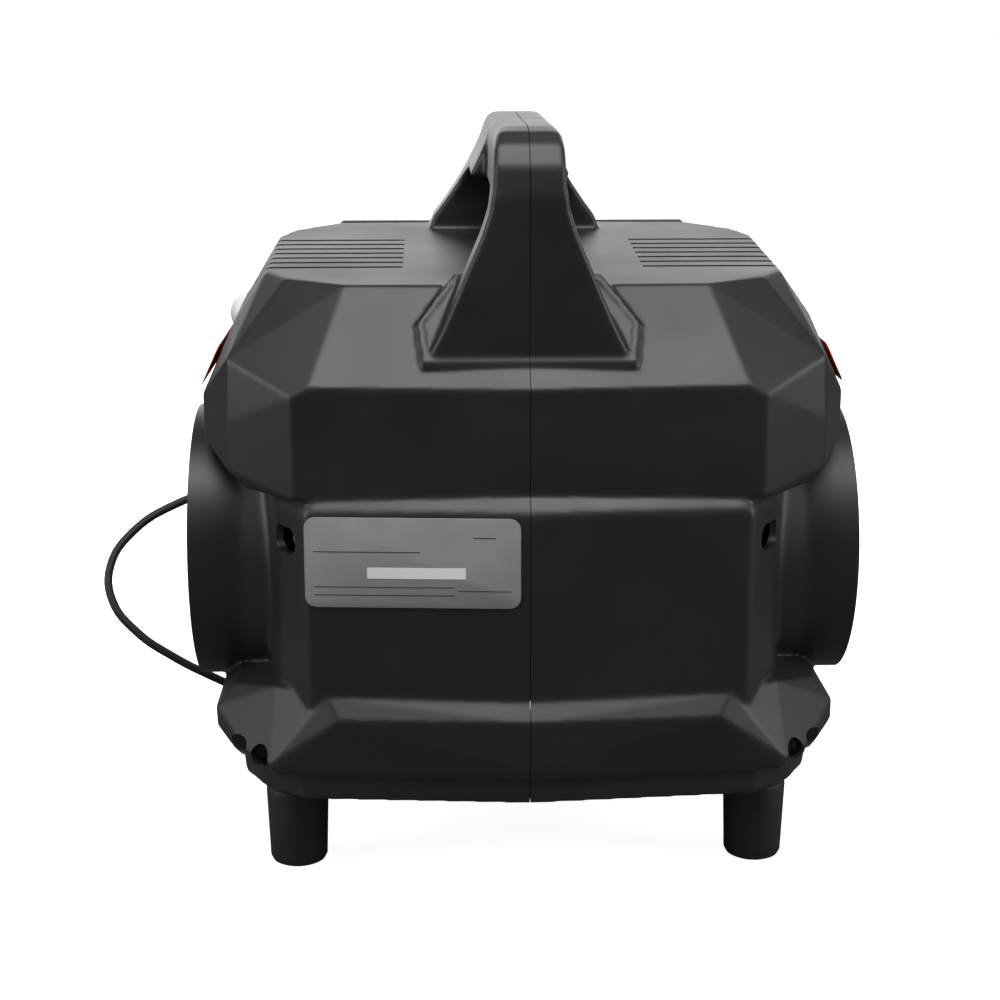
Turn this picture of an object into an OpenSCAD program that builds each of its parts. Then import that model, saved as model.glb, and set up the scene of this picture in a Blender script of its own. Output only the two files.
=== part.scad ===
// Portable silent air compressor in a two-part moulded case.
// Millimetres, +Z up, origin on the floor under the middle of the case.
// +Y points to the control end, -Y to the rating plate end.

/* [Case] */
// Wall thickness of the moulded shells
wall = 3; // [2:0.5:4]
// Half width of the end panels of the lower case
lower_half_w = 118; // [100:1:130]
// Half length of the case over its lower panels
lower_half_l = 144; // [130:1:160]
// Height of the case bottom above the floor
case_z = 48; // [40:1:60]
// Height of the middle of the top plate
top_z = 327; // [310:1:345]
// Fall of the top plate towards the rating plate end, per millimetre
top_fall = 0.0665; // [0:0.01:0.1]
// Step between the panels and the ledges
panel_step = 8; // [4:1:10]

/* [Handle] */
// Height of the top of the handle
handle_top = 404; // [390:1:430]
// Distance from the middle to the outer face of the rear leg
handle_reach = 125; // [112:1:130]
// Distance from the middle to the outer face of the front leg
front_reach = 112; // [100:1:114]
// Thickness of a handle leg, front to back
leg_depth = 33; // [26:1:40]
// Height of the grip section
grip_h = 34; // [26:1:40]
// Half width of the grip
grip_half_w = 18.5; // [15:0.5:24]

/* [Vents] */
// Slots in each group
slot_count = 7; // [3:1:8]
// Distance between slots
slot_pitch = 14; // [11:0.5:15]
// Width of a slot
slot_w = 4; // [2.5:0.5:6]
// Inner end of a slot, from the middle
slot_start = 67; // [60:1:80]

/* [Tank] */
// Outer radius of the tank
tank_r = 73; // [60:1:75]
// Half length of the tank over its ends
tank_half_l = 174; // [150:1:176]
// Height of the tank's axis
tank_z = 158; // [150:1:162]
// Gap between the tank and the case's drums
tank_gap = 4; // [3:0.5:8]

/* [Pump] */
// Distance of the motor's axis from the middle, towards the rating plate end
motor_y = 80; // [76:1:82]
// Height of the motor's axis
motor_z = 251; // [248:1:254]
// Outer radius of the motor
motor_r = 44; // [36:1:46]
// Tilt of the cylinders above level, in degrees
cylinder_tilt = 14; // [10:1:18]
// Outer radius of a cylinder barrel
barrel_r = 28; // [24:1:30]
// Bore of a cylinder
cylinder_bore = 46; // [36:1:48]
// Piston travel to each side of mid stroke
half_stroke = 7; // [4:1:8]

/* [Controls] */
// Distance of each gauge from the middle
gauge_x = 57; // [50:1:62]
// Outer radius of a gauge
gauge_r = 27; // [22:1:28]
// Radius of the regulator knob
knob_r = 17; // [12:1:20]
// Distance of the coupler and the switch from the middle
outlet_x = 66; // [55:1:75]

/* [Feet] */
// Radius of a foot at its top
foot_r = 17.5; // [14:0.5:19]
// Distance of the feet from the middle, across
foot_x = 128; // [115:1:130]
// Distance of the feet from the middle, along
foot_y = 106; // [95:1:108]

/* [Fits] */
// Gap between neighbouring pieces
gap = 0.3; // [0.2:0.1:0.5]
// Radial clearance of a turning shaft
run_fit = 0.05; // [0.02:0.01:0.09]
// Radius of the case bolts
bolt_r = 2.5; // [2:0.5:3]

/* [Hidden] */
$fn = 48;
plastic = [0.13, 0.13, 0.135];
steel = [0.72, 0.73, 0.75];
alloy = [0.78, 0.78, 0.8];
rubber = [0.06, 0.06, 0.065];
brass = [0.8, 0.63, 0.3];
eps = 0.01;

// ---- case outline ----
panel_l = lower_half_l - panel_step;
base_l = lower_half_l + panel_step;
upper_half_w = lower_half_w + 6;
ledge_low = 103;
ledge_high = 208;
crease_z = 272;
drum_x = 188;
drum_r = tank_r + tank_gap + wall;
cover_inset = 5;

// A level is a height, the fall of its plane, the near outline from the middle to the corner,
// the half width at mid length, and the far outline
function level(z, fall, near, mid, far) = [z, fall, near, mid, far];
function near_far(z, outline, mid) = level(z, 0, outline, mid, outline);
LEVELS = [
    near_far(case_z, [[0, base_l - 2], [lower_half_w - 9, base_l - 14], [140, 122], [156, 98]], 156),
    near_far(66, [[0, base_l], [lower_half_w - 6, base_l - 12], [147, 122], [171, 93]], 162),
    near_far(80, [[0, base_l], [lower_half_w - 4, base_l - 11], [147, 119], [174, 88]], 160),
    near_far(ledge_low - 7, [[0, base_l], [lower_half_w - 2, base_l - 10], [143, 117], [165, 88]], 152),
    near_far(ledge_low, [[0, lower_half_l], [lower_half_w, lower_half_l - 8], [136, 112], [142, 90]], 140),
    near_far(ledge_high, [[0, lower_half_l], [lower_half_w, lower_half_l - 8], [136, 112], [142, 90]], 140),
    near_far(ledge_high + 8, [[0, panel_l], [upper_half_w, panel_l - 5], [150, 107], [160, 80]], 165),
    near_far(230, [[0, panel_l], [upper_half_w, panel_l - 5], [161, 105], [178, 60]], 182),
    near_far(257, [[0, panel_l], [upper_half_w, panel_l - 5], [161, 104], [178, 60]], 180),
    near_far(crease_z, [[0, panel_l], [upper_half_w - 8, panel_l - 5], [160, 102], [171, 60]], 173),
    level(300, 0, [[0, 113], [107, 111], [147, 90], [158, 60]], 160,
        [[0, 123], [112, 121], [150, 92], [158, 60]]),
    level(top_z, top_fall, [[0, 94], [97, 91], [131, 72], [142, 52]], 143,
        [[0, 108], [108, 105], [134, 80], [142, 58]])];

function wall_in(p, t) = [p[0] - sign(p[0]) * t, p[1] - t];
function lift(l, x, y) = [x, y, l[0] + l[1] * y];
function ring(l, t) = let (n = [for (p = l[2]) wall_in(p, t)], f = [for (p = l[4]) wall_in(p, t)],
    m = l[3] - t) concat(
    [for (i = [0:3]) lift(l, n[i][0], -n[i][1])], [lift(l, m, 0)],
    [for (i = [3:-1:0]) lift(l, f[i][0], f[i][1])],
    [for (i = [1:3]) lift(l, -f[i][0], f[i][1])], [lift(l, -m, 0)],
    [for (i = [3:-1:1]) lift(l, -n[i][0], -n[i][1])]);
function moved(points, dz) = [for (p = points) [p[0], p[1], p[2] + dz]];

// Closed skin through a list of rings that have the same number of points
module skin(rings) {
    n = len(rings[0]);
    last = len(rings) - 1;
    points = [for (r = rings) each r];
    sides = [for (i = [0:last - 1], j = [0:n - 1]) let (k = (j + 1) % n)
        each [[i * n + j, (i + 1) * n + j, (i + 1) * n + k], [i * n + j, (i + 1) * n + k, i * n + k]]];
    polyhedron(points, concat([[for (j = [0:n - 1]) j]], sides,
        [[for (j = [n - 1:-1:0]) last * n + j]]), convexity = 8);
}
module case_blank(t) {
    last = len(LEVELS) - 1;
    skin([for (i = [0:last]) moved(ring(LEVELS[i], t), i == 0 ? t : i == last ? -t : 0)]);
}

// ---- handle ----
flare_z = 286;
top_bend = [[0, -30], [-6, -14], [-18, -4], [-34, 0]];
handle_side = concat([[-handle_reach, flare_z - 8]],
    [for (p = top_bend) [-handle_reach - p[0], handle_top + p[1]]],
    [for (i = [3:-1:0]) [front_reach + top_bend[i][0], handle_top + top_bend[i][1]]],
    [[front_reach, flare_z - 8]]);
rear_gap_y = handle_reach - leg_depth;
front_gap_y = front_reach - leg_depth;
gap_top = handle_top - grip_h;
gap_bend = [[0, -14], [-5, -5], [-15, 0]];
handle_gap = concat([[-rear_gap_y, 300]], [for (p = gap_bend) [-rear_gap_y - p[0], gap_top + p[1]]],
    [for (i = [2:-1:0]) [front_gap_y + gap_bend[i][0], gap_top + gap_bend[i][1]]], [[front_gap_y, 300]]);
// Half widths of the legs with their heights
rear_flare = [[58, flare_z - 8], [55.5, flare_z - 3], [47, 299], [38.5, 318], [31, 336], [25, 350], [21, 362],
    [grip_half_w + 0.5, 375], [grip_half_w, 388], [grip_half_w - 1, handle_top - 5],
    [grip_half_w - 3.5, handle_top - 1], [grip_half_w - 6.5, handle_top]];
front_flare = [[55, flare_z - 8], [54, 328], [50, 340], [42.5, 350], [35, 361], [28.5, 372], [23, 383],
    [grip_half_w + 0.5, 391], [grip_half_w - 1, handle_top - 5],
    [grip_half_w - 3.5, handle_top - 1], [grip_half_w - 6.5, handle_top]];
function mirrored(points) = [for (i = [len(points) - 1:-1:0]) [-points[i][0], points[i][1]]];
module along_x(half) { rotate([90, 0, 90]) translate([0, 0, -half]) linear_extrude(2 * half) children(); }
module along_y(y0, y1) { translate([0, y1, 0]) rotate([90, 0, 0]) linear_extrude(y1 - y0) children(); }
module handle_blank() {
    difference() {
        intersection() {
            along_x(70) polygon(handle_side);
            union() {
                along_y(-handle_reach - 1, 0) polygon(concat(rear_flare, mirrored(rear_flare)));
                along_y(0, front_reach + 1) polygon(concat(front_flare, mirrored(front_flare)));
            }
        }
        along_x(90) polygon(handle_gap);
    }
}
// Space inside the hollow handle
module handle_core() {
    core = grip_half_w - 6;
    channel = leg_depth - 14;
    translate([-core, -handle_reach + 9, gap_top + 6])
        cube([2 * core, handle_reach + front_reach - 18, grip_h - 16]);
    for (y = [-handle_reach + leg_depth / 2, front_reach - leg_depth / 2])
        translate([-core, y - channel / 2, 290]) cube([2 * core, channel, gap_top + 10 - 290]);
}

// ---- bolts that join the two shells ----
BOLTS = [[-112, 188, 121], [112, 188, 121], [-112, 68, 131], [112, 68, 131]];
head_r = 7.5;
post_r = head_r + wall - 0.5;
module on_bolts() { for (b = BOLTS) translate([0, b[0], b[1]]) rotate([0, 90, 0]) children(); }

// ---- control panel frame: local +Z leaves the panel, local +Y climbs it ----
panel_y = 122.5;
panel_z = 303;
panel_tilt = 65;
panel_w = 218;
panel_h = 66;
gauge_y = 3;
knob_y = -3;
rim_w = 2.5;
module on_panel() {
    translate([0, panel_y, panel_z]) rotate([-panel_tilt, 0, 0]) rotate([0, 0, 180]) children();
}
// Frame on the upper end panel under it: local +Z leaves the case
front_z = 244;
panel_bow = 5;
function front_y(x) = panel_l - panel_bow * abs(x) / upper_half_w;
module on_front(x) { translate([x, front_y(x), front_z]) rotate([-90, 0, 0]) children(); }

filter_y = 40;
filter_z = 287;
gland = [-125, 127, 151];
gland_turn = 143;
drain_hole_r = 14;
module on_gland() { translate(gland) rotate([0, 0, gland_turn]) rotate([0, 90, 0]) children(); }
module on_filter() { translate([-158, filter_y, filter_z]) rotate([0, -80, 0]) children(); }

module shell(side) {
    color(plastic) difference() {
        intersection() {
            union() {
                difference() {
                    union() {
                        case_blank(0);
                        handle_blank();
                        translate([side * 134, 0, tank_z]) rotate([0, side * 90, 0])
                            cylinder(h = drum_x - 134, r = drum_r);
                    }
                    difference() {
                        case_blank(wall);
                        // the bolt posts and the shelf under the pump stay solid
                        on_bolts() translate([0, 0, -160]) cylinder(h = 320, r = post_r);
                        for (x = [-shelf_x - 38, shelf_x]) translate([x, -lower_half_l, shelf_z - 4])
                            cube([38, lower_half_l - mount_rows[1] + 8, 4]);
                    }
                    translate([side * 100, 0, tank_z]) rotate([0, side * 90, 0])
                        cylinder(h = 100, r = drum_r - wall);
                    handle_core();
                }
            }
            translate([side > 0 ? 0 : -200, -200, 0]) cube([200, 400, 500]);
        }
        for (b = BOLTS) translate([0, b[0], b[1]]) rotate([0, side * 90, 0]) {
            translate([0, 0, -1]) cylinder(h = 200, r = bolt_r + gap);
            translate([0, 0, b[2]]) cylinder(h = 60, r = head_r);
        }
        for (i = [0:slot_count - 1])
            translate([side > 0 ? slot_start : -170, (i - (slot_count - 1) / 2) * slot_pitch - slot_w / 2, 302])
                cube([170 - slot_start, slot_w, 40]);
        on_panel() translate([-panel_w / 2 - gap, -panel_h / 2 - gap, -2]) cube([panel_w + 2 * gap, panel_h + 2 * gap, 30]);
        on_panel() for (x = [-gauge_x, gauge_x]) translate([x, gauge_y, -20]) cylinder(h = 30, r = gauge_r - 1);
        on_panel() translate([0, knob_y, -20]) cylinder(h = 30, r = 10);
        on_front(outlet_x) translate([0, 0, -12]) cylinder(h = 20, r = 13);
        on_front(-outlet_x) translate([-13, -15, -12]) cube([26, 30, 20]);
        on_front(0) translate([0, 0, -12]) cylinder(h = 20, r = 11);
        translate([0, 0, case_z - 1]) cylinder(h = wall + 2, r = drain_hole_r);
        for (x = [-foot_x, foot_x], y = [-foot_y, foot_y])
            translate([x, y, case_z - 1]) cylinder(h = wall + 2, r = 3.2);
        on_gland() translate([0, 0, -12]) cylinder(h = 30, r = 6.3);
        on_filter() translate([0, 0, -10]) cylinder(h = 30, r = 13);
    }
}
module left_shell() { shell(-1); }
module right_shell() { shell(1); }

// Round cover that closes the mouth of a drum over the end of the tank
module side_cover(side) {
    color(plastic) translate([side * (drum_x - cover_inset), 0, tank_z]) rotate([0, side * 90, 0]) difference() {
        union() {
            translate([0, 0, -4]) cylinder(h = 4, r = drum_r - wall - gap);
            for (r = [drum_r - wall - gap, 46, 24]) difference() {
                cylinder(h = 3.5, r = r);
                translate([0, 0, -eps]) cylinder(h = 4, r = r - 3);
            }
        }
        for (a = [0:30:330]) rotate([0, 0, a]) translate([52, -2, -5]) cube([16, 4, 10]);
    }
}
module left_side_cover() { side_cover(-1); }
module right_side_cover() { side_cover(1); }

module case_bolts() {
    color(steel) for (b = BOLTS) translate([0, b[0], b[1]]) rotate([0, 90, 0]) difference() {
        union() {
            translate([0, 0, b[2] + gap]) cylinder(h = 4, r = 4.6);
            translate([0, 0, -b[2] - 5]) cylinder(h = 2 * b[2] + 6, r = bolt_r);
        }
        translate([0, 0, b[2] + 2.5]) cylinder(h = 6, r = 2, $fn = 6);
    }
}
module case_nuts() {
    color(steel) for (b = BOLTS) translate([-b[2] - gap, b[0], b[1]]) rotate([0, -90, 0]) difference() {
        cylinder(h = 4, r = 4.6, $fn = 6);
        translate([0, 0, -1]) cylinder(h = 6, r = bolt_r + run_fit);
    }
}

plate_w = 114;
plate_h = 49;
module rounded_plate(w, h, t, r) {
    linear_extrude(t) union() {
        square([w - 2 * r, h], center = true);
        square([w, h - 2 * r], center = true);
        for (x = [-1, 1], y = [-1, 1]) translate([x * (w / 2 - r), y * (h / 2 - r)]) circle(r);
    }
}
plate_turn = atan2(8, lower_half_w);
module rating_plate() {
    color([0.6, 0.6, 0.61]) translate([-62, -(lower_half_l - 8 * 62 / lower_half_w) - 0.1, 181])
        rotate([0, 0, -plate_turn]) rotate([90, 0, 0]) rounded_plate(plate_w, plate_h, 0.8, 6);
}
// Painted band on each sloping upper side
module side_decals() {
    color([0.95, 0.33, 0.15]) for (s = [-1, 1])
        translate([s * 173.6, -16, 272]) rotate([0, s * 65, 0]) rounded_plate(24, 84, 0.6, 4);
}

// ---- feet ----
module foot(x, y) {
    color(rubber) translate([x, y, 0]) difference() {
        rotate_extrude() polygon([[0, 0], [foot_r - 4, 0], [foot_r - 2, 1.5], [foot_r - 1.2, 4],
            [foot_r, case_z - 4], [foot_r, case_z - 1], [0, case_z - 1]]);
        translate([0, 0, case_z - 22]) cylinder(h = 30, r = 2.5 + gap);
        translate([0, 0, -1]) cylinder(h = case_z - 20, r = 6);
    }
}
module rear_left_foot() { foot(-foot_x, -foot_y); }
module rear_right_foot() { foot(foot_x, -foot_y); }
module front_left_foot() { foot(-foot_x, foot_y); }
module front_right_foot() { foot(foot_x, foot_y); }
module foot_screws() {
    color(steel) for (x = [-foot_x, foot_x], y = [-foot_y, foot_y]) translate([x, y, 0]) {
        translate([0, 0, case_z - 26]) cylinder(h = 3.7, r = 5);
        translate([0, 0, case_z - 23]) cylinder(h = 32, r = 2.5);
    }
}

// ---- control panel ----
module control_panel() {
    color([0.2, 0.2, 0.21]) on_panel() difference() {
        union() {
            translate([-panel_w / 2, -panel_h / 2, -1.7]) cube([panel_w, panel_h, 4.2]);
            difference() {
                translate([-panel_w / 2, -panel_h / 2, 0]) cube([panel_w, panel_h, 4]);
                translate([-panel_w / 2 + rim_w, -panel_h / 2 + rim_w, 2.4])
                    cube([panel_w - 2 * rim_w, panel_h - 2 * rim_w, 4]);
            }
        }
        for (x = [-gauge_x, gauge_x]) translate([x, gauge_y, -5]) cylinder(h = 12, r = gauge_r - 2);
        translate([0, knob_y, -5]) cylinder(h = 12, r = 8.5);
        for (x = [-1, 1], y = [-1, 1])
            translate([x * (panel_w / 2 - 9), y * (panel_h / 2 - 9), -5]) cylinder(h = 12, r = 1.6);
    }
}
module panel_screws() {
    color(steel) on_panel() for (x = [-1, 1], y = [-1, 1])
        translate([x * (panel_w / 2 - 9), y * (panel_h / 2 - 9), 0]) {
            translate([0, 0, 2.5]) cylinder(h = 1.6, r = 3);
            translate([0, 0, -1.6]) cylinder(h = 4.5, r = 1.5);
        }
}

// ---- pressure gauges ----
module on_gauge(x) { on_panel() translate([x, gauge_y, 0]) children(); }
module gauge_case(x) {
    color(steel) on_gauge(x) difference() {
        union() {
            translate([0, 0, 2.6]) cylinder(h = 8, r = gauge_r);
            translate([0, 0, -20]) cylinder(h = 23, r = gauge_r - 3);
            translate([0, 0, -32]) cylinder(h = 13, r = 5);
        }
        translate([0, 0, 4.6]) cylinder(h = 12, r = gauge_r - 2.5);
        translate([0, 0, -4]) cylinder(h = 12, r = gauge_r - 5);
        translate([0, 0, -40]) cylinder(h = 24, r = 2);
    }
}
module gauge_dial(x) {
    color("white") on_gauge(x) translate([0, 0, -4]) difference() {
        cylinder(h = 1, r = gauge_r - 5.2);
        translate([0, 0, -1]) cylinder(h = 4, r = 1 + run_fit);
    }
}
module gauge_needle(x) {
    color([0.8, 0.1, 0.08]) on_gauge(x) rotate([0, 0, 225]) {
        translate([-5, -0.6, -2.2]) cube([gauge_r - 6, 1.2, 0.8]);
        translate([0, 0, -2.2]) cylinder(h = 1.8, r = 2.4);
        translate([0, 0, -3.9]) cylinder(h = 2.5, r = 1);
    }
}
module gauge_lens(x) {
    dome_h = 4.5;
    lens_r = gauge_r - 2.7;
    ball = (lens_r * lens_r + dome_h * dome_h) / (2 * dome_h);
    color([0.9, 0.95, 1, 0.4]) on_gauge(x) difference() {
        union() {
            translate([0, 0, 4.8]) cylinder(h = 6, r = lens_r);
            translate([0, 0, 10.8]) intersection() {
                translate([0, 0, dome_h - ball]) sphere(ball, $fn = 96);
                cylinder(h = dome_h + 1, r = lens_r);
            }
        }
        translate([0, 0, 4]) cylinder(h = 6, r = lens_r - 1.5);
    }
}
module tank_gauge_case() { gauge_case(-gauge_x); }
module tank_gauge_dial() { gauge_dial(-gauge_x); }
module tank_gauge_needle() { gauge_needle(-gauge_x); }
module tank_gauge_lens() { gauge_lens(-gauge_x); }
module outlet_gauge_case() { gauge_case(gauge_x); }
module outlet_gauge_dial() { gauge_dial(gauge_x); }
module outlet_gauge_needle() { gauge_needle(gauge_x); }
module outlet_gauge_lens() { gauge_lens(gauge_x); }

// ---- regulator ----
module regulator_body() {
    color(alloy) on_panel() translate([0, knob_y, 0]) difference() {
        union() {
            translate([0, 0, -40]) cylinder(h = 33, r = 15);
            translate([0, 0, -8]) cylinder(h = 14, r = 8);
            translate([-27, 0, -30]) rotate([0, 90, 0]) cylinder(h = 54, r = 6);
        }
        translate([0, 0, -8]) cylinder(h = 20, r = 4 + run_fit);
    }
}
module regulator_knob() {
    color(plastic) on_panel() translate([0, knob_y, 0]) {
        difference() {
            translate([0, 0, 6.3]) cylinder(h = 16, r = knob_r);
            for (a = [0:20:340]) rotate([0, 0, a])
                translate([knob_r + 1, 0, 5]) cylinder(h = 20, r = 2.2, $fn = 24);
            translate([0, 0, 20.5]) cylinder(h = 4, r = knob_r - 5);
        }
        translate([0, 0, -6]) cylinder(h = 14, r = 4);
    }
}

// ---- quick coupler on the upper end panel ----
module coupler_body() {
    color(brass) on_front(outlet_x) difference() {
        union() {
            translate([0, 0, manifold_y - front_y(outlet_x) + 0.2])
                cylinder(h = front_y(outlet_x) - manifold_y + 12, r = 6.5);
            translate([0, 0, -12]) cylinder(h = 6, r = 11, $fn = 6);
            translate([0, 0, 12]) cylinder(h = 2.5, r = 7.5);
        }
        translate([0, 0, -6]) cylinder(h = 30, r = 3.6);
        translate([0, 0, -42]) cylinder(h = 60, r = 2);
    }
}
module coupler_sleeve() {
    color(steel) on_front(outlet_x) difference() {
        union() {
            translate([0, 0, -0.5]) cylinder(h = 12, r = 11);
            translate([0, 0, -0.5]) cylinder(h = 2.5, r = 12);
        }
        translate([0, 0, -1]) cylinder(h = 13, r = 6.5 + run_fit);
    }
}

// ---- rocker switch ----
rocker_tilt = 10;
rocker_pin_r = 1.5;
rocker_pin_l = 10.5;
module switch_housing() {
    color([0.05, 0.05, 0.05]) on_front(-outlet_x) difference() {
        union() {
            translate([-15, -17, 0.9]) cube([30, 34, 2.6]);
            translate([-12.7, -14.7, -24]) cube([25.4, 29.4, 25]);
        }
        translate([-9, -11, -10]) cube([18, 22, 20]);
        translate([-rocker_pin_l - gap, 0, -1.4]) rotate([0, 90, 0])
            cylinder(h = 2 * (rocker_pin_l + gap), r = rocker_pin_r + run_fit);
    }
}
module switch_rocker() {
    color([0.75, 0.08, 0.06]) on_front(-outlet_x)
    translate([0, 0, -1.4]) rotate([rocker_tilt, 0, 0]) rotate([90, 0, 90]) {
        translate([0, 0, -8.5]) linear_extrude(17)
            polygon([[-9, 4.5], [-4, 3.4], [0, 3], [4, 3.4], [9, 4.5],
                [8.4, 0.5], [2, -3.5], [-2, -3.5], [-8.4, 0.5]]);
        translate([0, 0, -rocker_pin_l]) cylinder(h = 2 * rocker_pin_l, r = rocker_pin_r);
    }
}

// ---- safety valve with its pull ring ----
module safety_valve() {
    color(brass) on_front(0) difference() {
        union() {
            translate([0, 0, manifold_y - front_y(0) + 0.2]) cylinder(h = front_y(0) - manifold_y + 3, r = 5);
            translate([0, 0, -11]) cylinder(h = 5, r = 8.5, $fn = 6);
        }
        translate([0, 0, -20]) cylinder(h = 40, r = 1.5 + run_fit);
    }
}
module safety_ring() {
    color(steel) on_front(0) {
        translate([0, 0, -18]) cylinder(h = 24, r = 1.5);
        translate([0, 7.5, 5]) rotate_extrude() translate([7.5, 0]) circle(1.1, $fn = 24);
    }
}

// ---- drain valve under the tank ----
module drain_valve() {
    color(brass) difference() {
        union() {
            translate([0, 0, 50]) cylinder(h = tank_z - tank_r - 50 - gap, r = 7);
            translate([0, 0, tank_z - tank_r - 3]) cylinder(h = 8, r = 5.3);
            translate([0, 0, 66]) cylinder(h = 6, r = 11, $fn = 6);
        }
        translate([0, 0, 48]) cylinder(h = 14, r = 4 + run_fit);
        translate([0, 0, 48]) cylinder(h = 60, r = 2);
    }
}
module drain_knob() {
    color(brass) {
        translate([0, 0, 42]) cylinder(h = 19, r = 4);
        difference() {
            translate([0, 0, 32]) cylinder(h = 11, r = 11);
            for (a = [0:30:330]) rotate([0, 0, a]) translate([12, 0, 31]) cylinder(h = 13, r = 1.8, $fn = 24);
        }
    }
}

module intake_filter() {
    color([0.86, 0.88, 0.86]) on_filter() {
        translate([0, 0, -8]) cylinder(h = 14, r = 12.6);
        intersection() {
            sphere(14);
            translate([0, 0, 5]) cylinder(h = 10, r = 12.6);
        }
    }
}

// ---- tank ----
check_x = 30;
module tank() {
    color([0.14, 0.14, 0.15]) translate([0, 0, tank_z]) rotate([0, 90, 0]) difference() {
        rotate_extrude($fn = 96) difference() {
            tank_section(tank_r, tank_half_l, 26);
            tank_section(tank_r - 2, tank_half_l - 2, 24);
        }
        rotate([0, 90, 0]) cylinder(h = tank_r + 10, r = 5.5);
        translate([0, 0, check_x]) rotate([0, -90, 0]) cylinder(h = 80, r = 5.2);
    }
}
module tank_section(r, half, dome) {
    steps = 8;
    function bulge(i) = dome * (1 - cos(90 * i / steps));
    polygon(concat([[0, -half]],
        [for (i = [1:steps]) [r * sin(90 * i / steps), -half + bulge(i)]],
        [for (i = [steps:-1:1]) [r * sin(90 * i / steps), half - bulge(i)]],
        [[0, half]]));
}
bracket_x = 84;
module tank_brackets() {
    color(steel) for (s = [-1, 1]) translate([s * bracket_x, 0, tank_z]) rotate([0, 90, 0]) {
        difference() {
            translate([0, 0, -12]) cylinder(h = 24, r = tank_r + 2.5);
            translate([0, 0, -13]) cylinder(h = 26, r = tank_r + gap);
        }
        for (t = [-1, 1]) difference() {
            translate([42, t * 64 - 6, -12]) cube([tank_z - case_z - wall - 42 - 0.5, 12, 24]);
            translate([0, 0, -13]) cylinder(h = 26, r = tank_r + 1);
        }
    }
}

// ---- pump ----
plate_z = motor_z - motor_r - 6;
shelf_z = plate_z - 12;
shelf_x = 97;
mount_x = 104;
mount_rows = [94, 76];
module pump_plate() {
    color(steel) difference() {
        translate([-114, -124, plate_z]) cube([228, 56, 2]);
        for (x = [-mount_x, mount_x], y = mount_rows) translate([x, -y, plate_z - 1]) cylinder(h = 4, r = 3.3);
        translate([-200, 0, tank_z]) rotate([0, 90, 0]) cylinder(h = 400, r = tank_r + 3.5);
    }
}
module rubber_mounts() {
    color(rubber) for (x = [-mount_x, mount_x], y = mount_rows) translate([x, -y, 0]) {
        translate([0, 0, shelf_z + 0.1]) cylinder(h = 11.7, r = 7);
        translate([0, 0, plate_z - 1]) cylinder(h = 4, r = 3);
        translate([0, 0, plate_z + 2.2]) cylinder(h = 2, r = 5);
    }
}
module on_shaft() { translate([0, -motor_y, motor_z]) rotate([0, 90, 0]) children(); }
stator_half = 46;
module motor_stator() {
    color([0.5, 0.5, 0.52]) {
        on_shaft() difference() {
            translate([0, 0, -stator_half]) cylinder(h = 2 * stator_half, r = motor_r);
            translate([0, 0, -stator_half + 4]) cylinder(h = 2 * stator_half - 8, r = motor_r - 14);
            translate([0, 0, -60]) cylinder(h = 120, r = 6 + run_fit);
        }
        for (x = [-30, 30]) translate([x - 8, -motor_y - 20, plate_z + 2]) cube([16, 40, 8]);
    }
}
crank_x = 80;
fan_x = 120;
module rotor_shaft() {
    color(steel) on_shaft() {
        translate([0, 0, -fan_x - 7]) cylinder(h = 2 * fan_x + 14, r = 6);
        translate([0, 0, -stator_half + 8]) cylinder(h = 2 * stator_half - 16, r = motor_r - 14.6);
        for (s = [-1, 1]) translate([0, s * half_stroke, s * crank_x - 7]) cylinder(h = 14, r = 14);
    }
}
module fan(side) {
    color([0.85, 0.85, 0.83]) on_shaft() translate([0, 0, side * fan_x]) difference() {
        union() {
            translate([0, 0, -5]) cylinder(h = 10, r = 12);
            for (a = [0:60:300]) rotate([0, 0, a]) translate([8, 0, 0]) rotate([35, 0, 0])
                translate([0, -8, -0.8]) cube([30, 16, 1.6]);
        }
        translate([0, 0, -20]) cylinder(h = 40, r = 6);
    }
}
module left_fan() { fan(-1); }
module right_fan() { fan(1); }
module on_cylinder(side) {
    translate([side * crank_x, -motor_y, motor_z]) rotate([cylinder_tilt, 0, 0]) rotate([-90, 0, 0]) children();
}
crank_r = 34;
barrel_start = 39;
barrel_end = 94;
module crankcase(side) {
    color(alloy) difference() {
        union() {
            translate([side * crank_x, 0, 0]) on_shaft() translate([0, 0, -22]) cylinder(h = 44, r = crank_r + 4);
            on_cylinder(side) translate([0, 0, 10]) cylinder(h = barrel_start - 10, r = barrel_r + 2);
            translate([side * crank_x - 16, -motor_y - 17, plate_z + 2]) cube([32, 34, 20]);
        }
        translate([side * crank_x, 0, 0]) on_shaft() translate([0, 0, -18]) cylinder(h = 36, r = crank_r);
        translate([side * crank_x, 0, 0]) on_shaft() translate([0, 0, -40]) cylinder(h = 80, r = 6 + run_fit);
        on_cylinder(side) translate([0, 0, 12]) cylinder(h = barrel_start, r = cylinder_bore / 2 + 1);
    }
}
module left_crankcase() { crankcase(-1); }
module right_crankcase() { crankcase(1); }
module cylinder_barrel(side) {
    color(alloy) on_cylinder(side) difference() {
        union() {
            translate([0, 0, barrel_start + 0.1]) cylinder(h = barrel_end - barrel_start - 0.2, r = barrel_r - 2);
            for (i = [0:6]) translate([0, 0, barrel_start + 2 + i * 8]) cylinder(h = 3, r = barrel_r + 3);
        }
        translate([0, 0, barrel_start - 5]) cylinder(h = 80, r = cylinder_bore / 2);
    }
}
module left_cylinder() { cylinder_barrel(-1); }
module right_cylinder() { cylinder_barrel(1); }
module piston(side) {
    color(alloy) on_cylinder(side) {
        translate([0, 0, 66]) cylinder(h = 8, r = cylinder_bore / 2 - run_fit);
        translate([0, 0, 32]) cylinder(h = 36, r = 6);
    }
}
module left_piston() { piston(-1); }
module right_piston() { piston(1); }
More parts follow.
